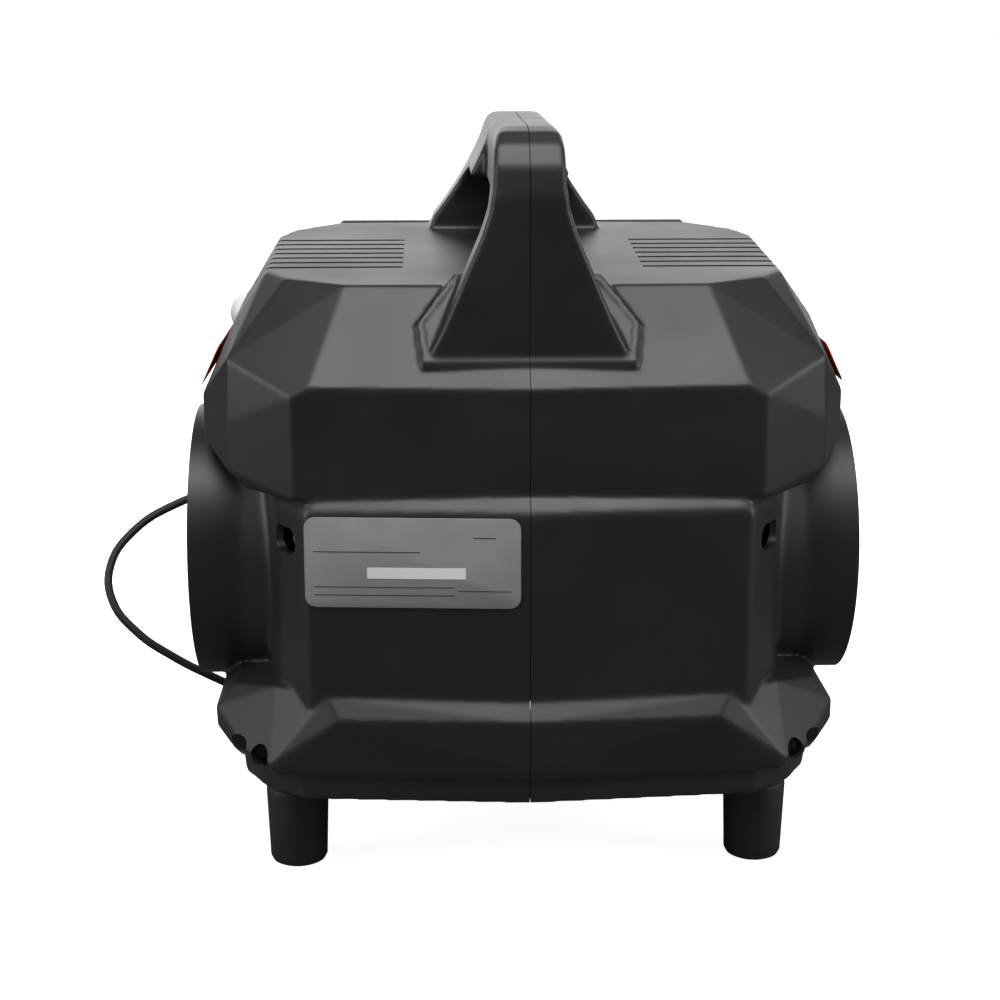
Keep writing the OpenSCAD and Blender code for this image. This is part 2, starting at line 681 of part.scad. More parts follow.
module head(side) {
    color(alloy) on_cylinder(side) difference() {
        union() {
            translate([-30, -30, barrel_end]) cube([60, 60, 9]);
            for (i = [-3:3]) translate([-30, i * 8.5 - 1.5, barrel_end]) cube([60, 3, 18]);
            translate([-7, -7, barrel_end]) cube([14, 14, 24]);
        }
        translate([0, 0, barrel_end - 1]) cylinder(h = 5, r = 16);
        for (x = [-1, 1], y = [-1, 1]) translate([x * 25.5, y * 25.5, barrel_end - 2]) cylinder(h = 40, r = 2);
    }
}
module left_head() { head(-1); }
module right_head() { head(1); }

// ---- air lines and electrics, in the control end ----
manifold_y = 104;
manifold_z = 232;
line_y = manifold_y - 10;
module manifold() {
    color(alloy) difference() {
        translate([-82, manifold_y - 20, manifold_z]) cube([164, 20, 22]);
        translate([-76, line_y, manifold_z + 11]) rotate([0, 90, 0]) cylinder(h = 152, r = 4);
    }
}
module pressure_switch() {
    color([0.1, 0.1, 0.11]) {
        translate([-92, line_y - 28, manifold_z + 26]) cube([40, 38, 26]);
        translate([-72, line_y, manifold_z + 22.2]) cylinder(h = 5, r = 6);
    }
}
valve_top = tank_z + tank_r + 14;
module check_valve() {
    color(brass) translate([check_x, 0, 0]) {
        translate([0, 0, tank_z + tank_r + 0.2]) cylinder(h = 14, r = 8, $fn = 6);
        translate([0, 0, tank_z + tank_r - 8]) cylinder(h = 9, r = 5);
    }
}
tube_r = 3;
tube_bend = 14;
// Bent copper tube from the check valve to the manifold
module discharge_tube() {
    color([0.75, 0.45, 0.3]) translate([check_x, 0, valve_top + 0.4]) {
        cylinder(h = 4, r = tube_r);
        translate([0, tube_bend, 4]) rotate([90, 0, 90]) rotate([0, 0, 90])
            rotate_extrude(angle = 90) translate([tube_bend, 0]) circle(tube_r);
        translate([0, tube_bend, 4 + tube_bend]) rotate([-90, 0, 0])
            cylinder(h = line_y - tube_bend - tube_bend, r = tube_r);
    }
}
module run_capacitor() {
    color([0.88, 0.88, 0.86]) translate([20, 88, 196]) rotate([0, 90, 0]) cylinder(h = 60, r = 13.5);
}

// ---- mains cord ----
cord_r = 2.8;
module strain_relief() {
    color(rubber) on_gland() difference() {
        union() {
            translate([0, 0, -6]) cylinder(h = 7, r = 6);
            translate([0, 0, 0.1]) rotate_extrude()
                polygon([[0, 0], [8, 0], [8, 3], [6, 6], [4.4, 31.9], [0, 31.9]]);
        }
        translate([0, 0, 20]) cylinder(h = 20, r = cord_r);
    }
}
coil_at = [-62, 208];
coil_turn_r = 31;
coil_rows = 3;
coil_layers = 2;
plug_x = 0;
plug_y = 171;
plug_z = 16;
ROUTE = [[-141, 139, 151], [-153, 148, 151], [-168, 157, 151], [-195, 162, 148], [-226, 158, 139],
    [-254, 147, 123], [-268, 133, 103], [-266, 122, 82], [-250, 116, 62], [-226, 116, 44], [-203, 121, 29],
    [-184, 131, 16], [-168, 142, 7], [-150, 154, 3], [-128, 165, 3], [-104, 171, 3], [-79, 171, 3]];
TAIL = [[-45, 171, 8], [-37, 171, 9], [-28, 171, 13], [-21, 171, 15.6], [-14, 171, 16]];
function curve_point(a, b, c, d, t) = let (u = 1 - t) 0.5 * ((2 * b) + (c - a) * t
    + (2 * a - 5 * b + 4 * c - d) * t * t + (-a + 3 * b - 3 * c + d) * t * t * t);
function smooth(route, steps) = let (last = len(route) - 1) concat(
    [for (i = [0:last - 1], s = [0:steps - 1]) curve_point(route[max(i - 1, 0)], route[i], route[i + 1],
        route[min(i + 2, last)], s / steps)], [route[last]]);
function unit(v) = v / norm(v);
function along(path, i) = unit(path[min(i + 1, len(path) - 1)] - path[max(i - 1, 0)]);
function ring_at(path, i, r, sides) = let (d = along(path, i), side = unit(cross(d, [0, 0, 1])),
    top = cross(side, d)) [for (k = [0:sides - 1]) let (a = -360 * k / sides)
        path[i] + r * cos(a) * side + r * sin(a) * top];
module cord_run() {
    color(rubber) for (route = [ROUTE, TAIL]) {
        path = smooth(route, route == TAIL ? 2 : 4);
        skin([for (i = [0:len(path) - 1]) ring_at(path, i, cord_r, 8)]);
    }
}
module cord_coil() {
    half = coil_rows * cord_r;
    color(rubber) translate([coil_at[0], coil_at[1], 0]) rotate_extrude()
        translate([coil_turn_r - half, 0]) square([2 * half, coil_layers * 2 * cord_r]);
}
module power_plug() {
    color(rubber) translate([plug_x, plug_y, plug_z]) rotate([0, 90, 0]) {
        cylinder(h = 34, r = plug_z);
        translate([0, 0, -14]) cylinder(h = 14, r = 8);
        for (y = [-9.5, 9.5]) translate([0, y, 34]) cylinder(h = 19, r = 2.4);
    }
}

left_shell();
right_shell();
left_side_cover();
right_side_cover();
case_bolts();
case_nuts();
rating_plate();
side_decals();
rear_left_foot();
rear_right_foot();
front_left_foot();
front_right_foot();
foot_screws();
control_panel();
panel_screws();
tank_gauge_case();
tank_gauge_dial();
tank_gauge_needle();
tank_gauge_lens();
outlet_gauge_case();
outlet_gauge_dial();
outlet_gauge_needle();
outlet_gauge_lens();
regulator_body();
regulator_knob();
coupler_body();
coupler_sleeve();
switch_housing();
switch_rocker();
safety_valve();
safety_ring();
drain_valve();
drain_knob();
intake_filter();
tank();
tank_brackets();
pump_plate();
rubber_mounts();
motor_stator();
rotor_shaft();
left_fan();
right_fan();
left_crankcase();
right_crankcase();
left_cylinder();
right_cylinder();
left_piston();
right_piston();
left_head();
right_head();
manifold();
pressure_switch();
check_valve();
discharge_tube();
run_capacitor();
strain_relief();
cord_run();
cord_coil();
power_plug();
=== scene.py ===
# %% [markdown]
# # A portable silent air compressor
# The machine is a black moulded case in two halves, bolted left to right, round a lying air tank
# and a small piston pump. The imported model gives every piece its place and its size. This lesson
# gives the case, the controls and the cord the finish of the real ones, piece by piece.

# %% Load the fixed frame
import math

import bmesh
import bpy
from mathutils import Matrix, Vector


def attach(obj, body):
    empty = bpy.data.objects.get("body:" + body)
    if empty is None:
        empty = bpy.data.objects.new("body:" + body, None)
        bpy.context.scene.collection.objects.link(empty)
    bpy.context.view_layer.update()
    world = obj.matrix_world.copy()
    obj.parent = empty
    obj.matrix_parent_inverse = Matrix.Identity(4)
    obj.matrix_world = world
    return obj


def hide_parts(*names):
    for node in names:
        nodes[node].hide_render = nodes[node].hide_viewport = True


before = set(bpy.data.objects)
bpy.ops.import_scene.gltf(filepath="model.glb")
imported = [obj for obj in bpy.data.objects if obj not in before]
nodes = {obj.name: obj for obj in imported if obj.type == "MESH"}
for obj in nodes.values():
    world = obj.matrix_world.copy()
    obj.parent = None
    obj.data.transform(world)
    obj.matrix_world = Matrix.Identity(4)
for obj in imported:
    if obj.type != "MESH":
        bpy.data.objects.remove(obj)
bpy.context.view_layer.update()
MM = 0.001

# %% [markdown]
# ## The camera
# The machine is seen from its rating plate end, from a little above and a little to the left,
# with a long lens from about a metre away. A long lens keeps the upright edges nearly parallel.

# %% Make the camera
CAMERA_AT = Vector((-0.04815, -1.10745, 0.45796))
CAMERA_YAW = math.radians(1.9)
CAMERA_PITCH = math.radians(14.1)
camera = bpy.data.objects.new("camera", bpy.data.cameras.new("camera"))
camera.data.sensor_width = 36
camera.data.lens = 68.9
camera.location = CAMERA_AT
camera.rotation_euler = (math.radians(90) - CAMERA_PITCH, 0, -CAMERA_YAW)
bpy.context.scene.collection.objects.link(camera)
bpy.context.scene.camera = camera
print("camera stands", round(CAMERA_AT.length, 3), "m from the machine")

# %% [markdown]
# ## Colours and nodes
# Paint and plastic colours are written as sRGB hex values, as a colour card gives them. Shaders
# work in linear light, so one function turns them. One more function adds a shader node with its
# settings, its values and its links, and it serves every finish below.

# %% Colour and node helpers
def linear(card):
    """Turns an sRGB hex colour into the linear colour that a shader wants."""
    parts = [int(card[i:i + 2], 16) / 255 for i in (1, 3, 5)]
    turned = [p / 12.92 if p <= 0.04045 else ((p + 0.055) / 1.055) ** 2.4 for p in parts]
    return (*turned, 1.0)


def add_node(finish, kind, values=None, links=None, **settings):
    """Adds one shader node with its settings, socket values and links."""
    tree = finish.node_tree
    made = tree.nodes.new(kind)
    for name, value in settings.items():
        setattr(made, name, value)
    for socket, value in (values or {}).items():
        made.inputs[socket].default_value = value
    for socket, source in (links or {}).items():
        tree.links.new(source, made.inputs[socket])
    return made


def start_finish(name, card, roughness, metallic=0.0, **sockets):
    """Makes a finish with one Principled shader, and gives it, its shader and its Object coordinates."""
    finish = bpy.data.materials.new(name)
    finish.use_nodes = True
    finish.node_tree.nodes.clear()
    shader = add_node(finish, "ShaderNodeBsdfPrincipled", {
        "Base Color": linear(card), "Roughness": roughness, "Metallic": metallic, **sockets})
    add_node(finish, "ShaderNodeOutputMaterial", links={"Surface": shader.outputs["BSDF"]})
    place = add_node(finish, "ShaderNodeTexCoord").outputs["Object"]
    return finish, shader, place


def join(finish, source, shader, socket):
    finish.node_tree.links.new(source, shader.inputs[socket])


# %% [markdown]
# ## Grain, spread and wear
# Nearly every real surface differs a little from place to place. Three things show it: a colour
# that wanders between two close shades, a gloss that wanders between two values, and a fine relief.
# Each is driven by noise whose size is worked out from a real grain in millimetres.

# %% Functions for uneven colour, gloss and relief
def noise(finish, place, grain_mm, detail=3.0, stretch=(1, 1, 1)):
    """Noise whose bumps are about grain_mm wide, read at the Object coordinates."""
    scaled = add_node(finish, "ShaderNodeMapping", {"Scale": stretch}, {"Vector": place})
    return add_node(finish, "ShaderNodeTexNoise", {"Scale": 1 / (grain_mm * MM), "Detail": detail},
                    {"Vector": scaled.outputs["Vector"]}).outputs["Fac"]


def two_shades(finish, driver, card_a, card_b, low=0.35, high=0.65):
    """A colour that goes from one shade to another as the driver goes from low to high."""
    share = add_node(finish, "ShaderNodeMapRange", {"From Min": low, "From Max": high},
                     {"Value": driver}).outputs["Result"]
    mixed = add_node(finish, "ShaderNodeMix", {6: linear(card_a), 7: linear(card_b)}, {0: share},
                     data_type="RGBA")
    return mixed.outputs[2]


def spread(finish, driver, low, high):
    """A value that goes from low to high with the driver."""
    return add_node(finish, "ShaderNodeMapRange", {"From Min": 0.3, "From Max": 0.7, "To Min": low,
                    "To Max": high}, {"Value": driver}).outputs["Result"]


def relief(finish, height, depth_mm, strength=1.0):
    """A bump whose full height is depth_mm."""
    return add_node(finish, "ShaderNodeBump", {"Distance": depth_mm * MM, "Strength": strength},
                    {"Height": height}).outputs["Normal"]


# %% [markdown]
# ## The floor and the light
# A pale plain floor carries the machine. A soft box stands behind and above it, so that the top
# plate shines and the end that faces the camera stays dark, as black plastic does in a studio.

# %% Floor, backdrop light and soft boxes
def stage_finish():
    """Pale to the eye, but a dim reflector, so that the black case stays black."""
    finish = bpy.data.materials.new("studio_floor")
    finish.use_nodes = True
    finish.node_tree.nodes.clear()
    seen = add_node(finish, "ShaderNodeEmission", {"Color": linear("#fbfbfb"), "Strength": 0.95})
    lit = add_node(finish, "ShaderNodeBsdfDiffuse", {"Color": linear("#f4f4f4")})
    eye = add_node(finish, "ShaderNodeAddShader", links={0: seen.outputs[0], 1: lit.outputs[0]})
    dim = add_node(finish, "ShaderNodeBsdfDiffuse", {"Color": linear("#6a6a6a")})
    ray = add_node(finish, "ShaderNodeLightPath").outputs["Is Camera Ray"]
    both = add_node(finish, "ShaderNodeMixShader", links={0: ray, 1: dim.outputs[0], 2: eye.outputs[0]})
    add_node(finish, "ShaderNodeOutputMaterial", links={"Surface": both.outputs[0]})
    return finish


def make_floor():
    bm = bmesh.new()
    bmesh.ops.create_circle(bm, cap_ends=True, radius=40, segments=64)
    mesh = bpy.data.meshes.new("floor")
    bm.to_mesh(mesh)
    bm.free()
    floor = bpy.data.objects.new("floor", mesh)
    mesh.materials.append(stage_finish())
    bpy.context.scene.collection.objects.link(floor)


def soft_box(name, at, aim, width, depth, watts):
    """A rectangular lamp at a point, aimed at another, that lights but isn't seen."""
    lamp = bpy.data.lights.new(name, "AREA")
    lamp.shape = "RECTANGLE"
    lamp.size, lamp.size_y, lamp.energy = width, depth, watts
    box = bpy.data.objects.new(name, lamp)
    box.location = at
    box.rotation_euler = (Vector(aim) - Vector(at)).to_track_quat("-Z", "Y").to_euler()
    box.visible_camera = False
    bpy.context.scene.collection.objects.link(box)


def make_world():
    world = bpy.data.worlds.new("studio")
    bpy.context.scene.world = world
    world.use_nodes = True
    world.node_tree.nodes.clear()
    seen = add_node(world, "ShaderNodeBackground", {"Color": linear("#ffffff"), "Strength": 1.0})
    dim = add_node(world, "ShaderNodeBackground", {"Color": linear("#f2f4f8"), "Strength": 0.16})
    ray = add_node(world, "ShaderNodeLightPath").outputs["Is Camera Ray"]
    both = add_node(world, "ShaderNodeMixShader", links={0: ray, 1: dim.outputs[0], 2: seen.outputs[0]})
    add_node(world, "ShaderNodeOutputWorld", links={"Surface": both.outputs[0]})


MIDDLE = (0, 0, 0.2)
make_floor()
make_world()
soft_box("back_box", (0, 2.2, 1.0), (0, 0, 0.3), 3.2, 1.6, 34)
soft_box("top_box", (0, -0.75, 2.0), MIDDLE, 1.8, 0.8, 44)
soft_box("left_box", (-2.1, -0.5, 0.9), MIDDLE, 1.0, 1.4, 20)
soft_box("right_box", (2.1, -0.5, 0.9), MIDDLE, 1.0, 1.4, 20)
bpy.context.scene.view_settings.view_transform = "Standard"

# %% [markdown]
# ## The mains cord
# A rubber cord 5.6 mm thick leaves the gland at the control end, swings out past the case in the
# loose loop that shows on the left, comes down to the floor and runs behind the machine. The rest
# is wound in a flat coil of two layers behind it, and ends in its plug. The coil is worked out by
# a loop: each turn lies one cord's width from the last, first inwards along the floor, then up at
# the inside and outwards on top. One smooth curve with a round bevel is all that a cord needs.

# %% The cord's route and its coil
CORD_R = 2.8
CORD_EXIT = (-150.6, 146.2, 151)
ROUTE = [(-168, 157, 151), (-195, 162, 148), (-226, 158, 139), (-254, 147, 123), (-268, 133, 103),
         (-266, 122, 82), (-250, 116, 62), (-226, 116, 44), (-203, 121, 29), (-184, 131, 16),
         (-168, 142, 7), (-150, 154, 3), (-128, 165, 3), (-104, 171, 3), (-79, 171, 3)]
TAIL = [(-45, 171, 8), (-37, 171, 9), (-28, 171, 13), (-21, 171, 15.6), (-14, 171, 16)]
COIL_AT = (-62, 208)
COIL_TURNS = 5
COIL_MIDDLE_R = 31
ROW_PITCH = 5.65
POINTS_PER_TURN = 18


def ease(x, start, end):
    """Goes smoothly from 0 at start to 1 at end."""
    share = min(1.0, max(0.0, (x - start) / (end - start)))
    return share * share * (3 - 2 * share)


def coil_point(phase):
    """The cord's place after so many degrees of winding."""
    inwards = ease(phase, 200, 320) + ease(phase, 560, 680)
    outwards = ease(phase, 1060, 1160) + ease(phase, 1420, 1520)
    radius = COIL_MIDDLE_R + ROW_PITCH * (1 - inwards + outwards)
    height = CORD_R + ease(phase, 820, 920) * 2 * CORD_R
    angle = math.radians(phase - 90)
    return (COIL_AT[0] + radius * math.cos(angle), COIL_AT[1] + radius * math.sin(angle), height)


def cord_line():
    steps = COIL_TURNS * POINTS_PER_TURN
    coil = [coil_point(360 * i / POINTS_PER_TURN) for i in range(steps + 1)]
    return [tuple(c * MM for c in p) for p in [CORD_EXIT, *ROUTE, *coil, *TAIL]]


def rubber_curve(name, points, radius):
    """One open smooth spline through the points, with a round bevel."""
    curve = bpy.data.curves.new(name, "CURVE")
    curve.dimensions = "3D"
    curve.bevel_depth = radius
    curve.bevel_resolution = 4
    curve.resolution_u = 6
    curve.use_fill_caps = True
    spline = curve.splines.new("BEZIER")
    spline.bezier_points.add(len(points) - 1)
    for knot, point in zip(spline.bezier_points, points):
        knot.co = point
        knot.handle_left_type = knot.handle_right_type = "AUTO"
    made = bpy.data.objects.new(name, curve)
    bpy.context.scene.collection.objects.link(made)
    return made


def curve_length(made):
    """Measures a curve along its evaluated centre line."""
    bare = made.copy()
    bare.data = made.data.copy()
    bare.data.bevel_depth = 0
    mesh = bare.to_mesh()
    places = [v.co.copy() for v in mesh.vertices]
    bare.to_mesh_clear()
    bpy.data.objects.remove(bare)
    return sum((b - a).length for a, b in zip(places, places[1:]))


cord = rubber_curve("mains_cord", cord_line(), CORD_R * MM)
cord_metres = curve_length(cord)
print("cord is", round(cord_metres, 4), "m long")
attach(cord, "case")
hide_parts("cord_run", "cord_coil")

# %% [markdown]
# ## Making solids with bmesh
# The case is an injection moulding. Its maker built it from a few plain blocks, blended them with
# fillets, and hollowed the result. The same way works here: each block is the hull of a few
# corners, the blocks are joined, a fine remesh turns every edge into a small fillet, and the
# hollow, the slots and the holes are cut last, so that they stay crisp.

# %% Helpers for solids
def turn_z(degrees):
    return Matrix.Rotation(math.radians(degrees), 4, "Z")


def move(x, y, z=0):
    return Matrix.Translation((x * MM, y * MM, z * MM))


def hull(corners):
    """A convex block on corners in millimetres, mirrored to the other side of the middle."""
    bm = bmesh.new()
    for x, y, z in corners:
        for side in ((1, -1) if x else (1,)):
            bm.verts.new((side * x * MM, y * MM, z * MM))
    made = bmesh.ops.convex_hull(bm, input=bm.verts)
    spare = [g for g in {*made["geom_interior"], *made["geom_unused"]} if isinstance(g, bmesh.types.BMVert)]
    bmesh.ops.delete(bm, geom=spare, context="VERTS")
    return bm


def prism(outline, start, end, place):
    """An outline in millimetres, swept from start to end along its own Z, then put in place."""
    bm = bmesh.new()
    face = bm.faces.new([bm.verts.new((x * MM, y * MM, start * MM)) for x, y in outline])
    grown = bmesh.ops.extrude_face_region(bm, geom=[face])["geom"]
    bmesh.ops.translate(bm, verts=[g for g in grown if isinstance(g, bmesh.types.BMVert)],
                        vec=(0, 0, (end - start) * MM))
    bmesh.ops.recalc_face_normals(bm, faces=bm.faces)
    bmesh.ops.transform(bm, matrix=place, verts=bm.verts)
    return bm


def rod(radius, start, end, place, sides=64, end_radius=None):
    """A round rod or cone along the Z of its place, in millimetres."""
    bm = bmesh.new()
    shift = Matrix.Translation((0, 0, (start + end) / 2 * MM))
    bmesh.ops.create_cone(bm, cap_ends=True, segments=sides, radius1=radius * MM,
                          radius2=(radius if end_radius is None else end_radius) * MM,
                          depth=(end - start) * MM, matrix=place @ shift)
    return bm


def block(low, high, place=Matrix.Identity(4)):
    """A box between two corners in millimetres."""
    bm = bmesh.new()
    size = [(b - a) * MM for a, b in zip(low, high)]
    middle = [(a + b) / 2 * MM for a, b in zip(low, high)]
    bmesh.ops.create_cube(bm, size=1, matrix=place @ Matrix.Translation(middle) @ Matrix.Diagonal((*size, 1)))
    return bm


def together(parts):
    """Puts several bmesh solids into one."""
    whole = bmesh.new()
    for part in parts:
        spare = bpy.data.meshes.new("spare")
        part.to_mesh(spare)
        part.free()
        whole.from_mesh(spare)
        bpy.data.meshes.remove(spare)
    return whole


def loose(bm, name="solid"):
    """Turns a bmesh into an object, and frees it."""
    mesh = bpy.data.meshes.new(name)
    bm.to_mesh(mesh)
    bm.free()
    made = bpy.data.objects.new(name, mesh)
    bpy.context.scene.collection.objects.link(made)
    return made


def bake(solid):
    """Applies an object's modifiers to its mesh."""
    graph = bpy.context.evaluated_depsgraph_get()
    mesh = bpy.data.meshes.new_from_object(solid.evaluated_get(graph))
    old = solid.data
    solid.modifiers.clear()
    solid.data = mesh
    bpy.data.meshes.remove(old)
    return solid


def carve(solid, tools, operation="DIFFERENCE"):
    """Joins, cuts or crosses a solid with others, which are used up."""
    for tool in tools:
        tool = loose(tool) if isinstance(tool, bmesh.types.BMesh) else tool
        change = solid.modifiers.new("carve", "BOOLEAN")
        change.operation = operation
        change.solver = "MANIFOLD"
        change.object = tool
        bake(solid)
        bpy.data.objects.remove(tool)
    return solid


def blend_edges(solid, voxel_mm, rounds):
    """Rebuilds a solid in small even faces and smooths them, which leaves a fillet on every edge."""
    cells = solid.modifiers.new("cells", "REMESH")
    cells.mode = "VOXEL"
    cells.voxel_size = voxel_mm * MM
    soft = solid.modifiers.new("soft", "SMOOTH")
    soft.factor = 0.5
    soft.iterations = rounds
    return bake(solid)


def show(solid, name, finish, body="case", crease=35, replaces=()):
    """Names a finished piece, shades it smooth up to a crease angle, and lets it ride on its body."""
    solid.name = solid.data.name = name
    bm = bmesh.new()
    bm.from_mesh(solid.data)
    for face in bm.faces:
        face.smooth = True
    for edge in bm.edges:
        edge.smooth = edge.calc_face_angle(0) < math.radians(crease)
    bm.to_mesh(solid.data)
    bm.free()
    solid.data.materials.clear()
    solid.data.materials.append(finish)
    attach(solid, body)
    if replaces:
        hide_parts(*replaces)
    return solid


# %% [markdown]
# ## Places on the case
# The controls sit in two local frames. One lies on the sloping panel, with its Z leaving the
# panel and its Y climbing it. The other stands on the upright end under it, with its Z leaving the
# case. Working in them keeps every knob and gauge square to the face that carries it.

# %% Local frames
PANEL_TURN = Matrix.Rotation(math.radians(-65), 4, "X") @ Matrix.Rotation(math.pi, 4, "Z")
ON_PANEL = Matrix.Translation((0, 122.5 * MM, 303 * MM)) @ PANEL_TURN
ON_FILTER = move(-158, 40, 287) @ Matrix.Rotation(math.radians(-80), 4, "Y")
ALONG_X = Matrix.Rotation(math.radians(90), 4, "Y")
CASE_L, CASE_W = 136, 124
TANK_Z = 158
GAUGE_X, GAUGE_Y, KNOB_Y = 57, 3, -3
OUTLET_X = 66


def on_front(x):
    """The frame on the upper end panel, x millimetres from the middle."""
    y = CASE_L - 5 * abs(x) / CASE_W
    return Matrix.Translation((x * MM, y * MM, 244 * MM)) @ Matrix.Rotation(math.radians(-90), 4, "X")


def along_x(side, y=0, z=0):
    """A frame whose Z points out of one side of the case."""
    return Matrix.Translation((0, y * MM, z * MM)) @ Matrix.Rotation(math.radians(90) * side, 4, "Y")


# %% [markdown]
# ## The blocks of the case
# Seen from the side the case is a base that spreads at its corners, a narrower body that two
# drums cross, and a roof whose end slopes. Both ends have the same outline except for the roof.
# Each block is a list of corners on one quarter, used for both ends and both sides.

# %% Corners of the blocks
def both_ends(quarter):
    return [(x, end * y, z) for x, y, z in quarter for end in (-1, 1)]


BASE = both_ends([(0, 150, 62), (137, 138, 62), (151, 121, 62), (163, 98, 62), (0, 152, 68), (140, 137, 68),
                  (154, 121, 69), (173, 92, 74), (174, 88, 84), (163, 86, 97), (138, 112, 104),
                  (0, 152, 95), (102, 145, 95), (0, 143, 106), (109, 137, 106), (152, 0, 97), (162, 0, 66)])
SKIRT = both_ends([(0, 148, 48), (122, 138, 48), (145, 118, 48), (157, 96, 48), (158, 0, 48),
                   (0, 148, 70), (124, 137, 70), (146, 118, 70), (160, 94, 70), (158, 0, 70)])
BODY = both_ends([(0, 144, 80), (118, 136, 80), (135, 108, 80), (143, 76, 80), (141, 0, 80),
                  (0, 144, 207), (118, 136, 207), (135, 108, 207), (143, 76, 207), (141, 0, 207),
                  (0, 135, 217), (112, 128, 217), (128, 100, 219), (136, 72, 221)])
ROOF_SIDES = both_ends([(0, 136, 212), (124, 131, 212), (150, 108, 214), (161, 104, 223), (178, 60, 231),
                        (182, 0, 231), (161, 104, 250), (178, 60, 257), (180, 0, 257), (171, 60, 272),
                        (173, 0, 272), (158, 60, 300), (160, 0, 300)])
ROOF_NEAR = [(0, -136, 272), (115, -131, 273), (124, -131, 268), (160, -101, 283), (97, -92, 321),
             (130, -72, 322), (142, -52, 323.5), (0, -94, 320.8)]
ROOF_FAR = [(0, 136, 272), (116, 131, 272), (160, 102, 272), (0, 123, 300), (112, 121, 300), (150, 92, 300),
            (0, 108, 334.2), (108, 105, 334), (134, 80, 332.3), (142, 58, 330.9)]
ROOF = ROOF_SIDES + ROOF_NEAR + ROOF_FAR
WALL = 3


def inner(corners, floor, ceiling):
    """The same corners moved in by the wall, and kept between two heights."""
    return [(max(x - WALL, 0), y - math.copysign(WALL, y) if y else 0,
             min(max(z, floor), ceiling - 0.0665 * (100 - y))) for x, y, z in corners]


# %% [markdown]
# ## The handle
# The handle is a hollow bow. Its near leg is a broad fin that spreads where it meets the slope, in
# a shallow tray on each side, and its far leg stands on the roof behind the panel. A side view of
# the bow crossed with a front view of the legs gives the rough form, and a stronger blend rounds
# it for the hand.

# %% Build the handle
REAR_REACH, FRONT_REACH, LEG_DEPTH = 125, 112, 33
HANDLE_TOP, GRIP_H = 404, 34
BEND = [(0, -34), (3, -19), (10, -8), (20, -2), (36, 0)]
GAP_BEND = [(0, -18), (3, -8), (9, -2), (18, 0)]
REAR_FLARE = [(59, 270), (55.5, 283), (47, 299), (38.5, 318), (31, 336), (25, 350), (21, 362), (19, 375),
              (18.5, 388), (18.2, 394), (17.5, 399), (15, 403), (12, 404)]
FRONT_FLARE = [(55, 270), (54, 328), (50, 340), (42.5, 350), (35, 361), (28.5, 372), (23, 383), (19.5, 392),
               (17.5, 399), (15, 403), (12, 404)]


def bow(low, reach_a, reach_b, top, bend):
    """The side outline of the bow, or of the gap under it, from one foot to the other."""
    left = [(-reach_a, low)] + [(-reach_a + x, top + z) for x, z in bend]
    right = [(reach_b - x, top + z) for x, z in reversed(bend)] + [(reach_b, low)]
    return left + right


def side_view(outline, half):
    """An outline in Y and Z, swept across the case."""
    turn = Matrix(((0, 0, 1, 0), (1, 0, 0, 0), (0, 1, 0, 0), (0, 0, 0, 1)))
    return prism(outline, -half, half, turn)


def front_view(flare, start, end):
    """A flare of half widths and heights, swept along the case."""
    turn = Matrix(((1, 0, 0, 0), (0, 0, 1, 0), (0, 1, 0, 0), (0, 0, 0, 1)))
    outline = flare + [(-x, z) for x, z in reversed(flare)]
    return prism(outline, start, end, turn)


def make_handle():
    legs = loose(front_view(REAR_FLARE, -130, 0))
    carve(legs, [front_view(FRONT_FLARE, -1, 120)], "UNION")
    carve(legs, [side_view(bow(270, REAR_REACH, FRONT_REACH, HANDLE_TOP, BEND), 90)], "INTERSECT")
    gap = bow(250, REAR_REACH - LEG_DEPTH, FRONT_REACH - LEG_DEPTH, HANDLE_TOP - GRIP_H, GAP_BEND)
    carve(legs, [side_view(gap, 95)])
    return blend_edges(legs, 1.5, 14)


def slope_z(y):
    """Height of the sloping end of the roof."""
    return 321 + (y + 94) * 49 / 42


def tray(points, low, high):
    """A block on the slope, under an outline of x and y, between two heights over the slope."""
    return hull([(x, y, slope_z(y) + h) for x, y in points for h in (low, high)])


# %% [markdown]
# ## Joining and hollowing the case
# The drums and the body are blended most, because there the real case flows like a bottle. The
# base and the roof keep tighter edges. After the last light blend the mesh is thinned, the inside
# is taken out, and slots, counterbores and pockets are cut.

# %% Sizes and the solid case
DRUM_R = 80
FLARE = 14
DRUM_END = 188
BOLTS = [(-112, 188, 121), (112, 188, 121), (-112, 68, 131), (112, 68, 131)]
HEAD_R = 7.5
SCOOP_TURN = 48
SLOT_PITCH, SLOT_W, SLOT_START, SLOT_END = 14, 4, 67, 170
FEET = [(x, y) for x in (-128, 128) for y in (-106, 106)]
SIDES = (-1, 1)


def make_case_blank():
    middle = loose(hull(BODY))
    for side in SIDES:
        carve(middle, [rod(DRUM_R, 100, DRUM_END + 8, along_x(side, z=TANK_Z), 128),
                       rod(DRUM_R + FLARE, 118, 160, along_x(side, z=TANK_Z), 128, DRUM_R)], "UNION")
    blend_edges(middle, 1.5, 26)
    crisp = loose(hull(ROOF))
    carve(crisp, [hull(BASE), hull(SKIRT)], "UNION")
    plate = loose(tray([(0, -88), (39, -90), (59, -111), (56, -127), (0, -127)], -20, 2.6))
    carve(plate, [tray([(20, -92), (37, -93), (56, -111), (53, -123), (20, -123)], 1, 20)])
    carve(crisp, [plate, middle], "UNION")
    return carve(crisp, [make_handle()], "UNION")


# %% [markdown]
# The inside of the case is the same set of blocks, moved in by the wall. A plain throat joins them,
# because the pump stands partly in the roof and partly in the body.

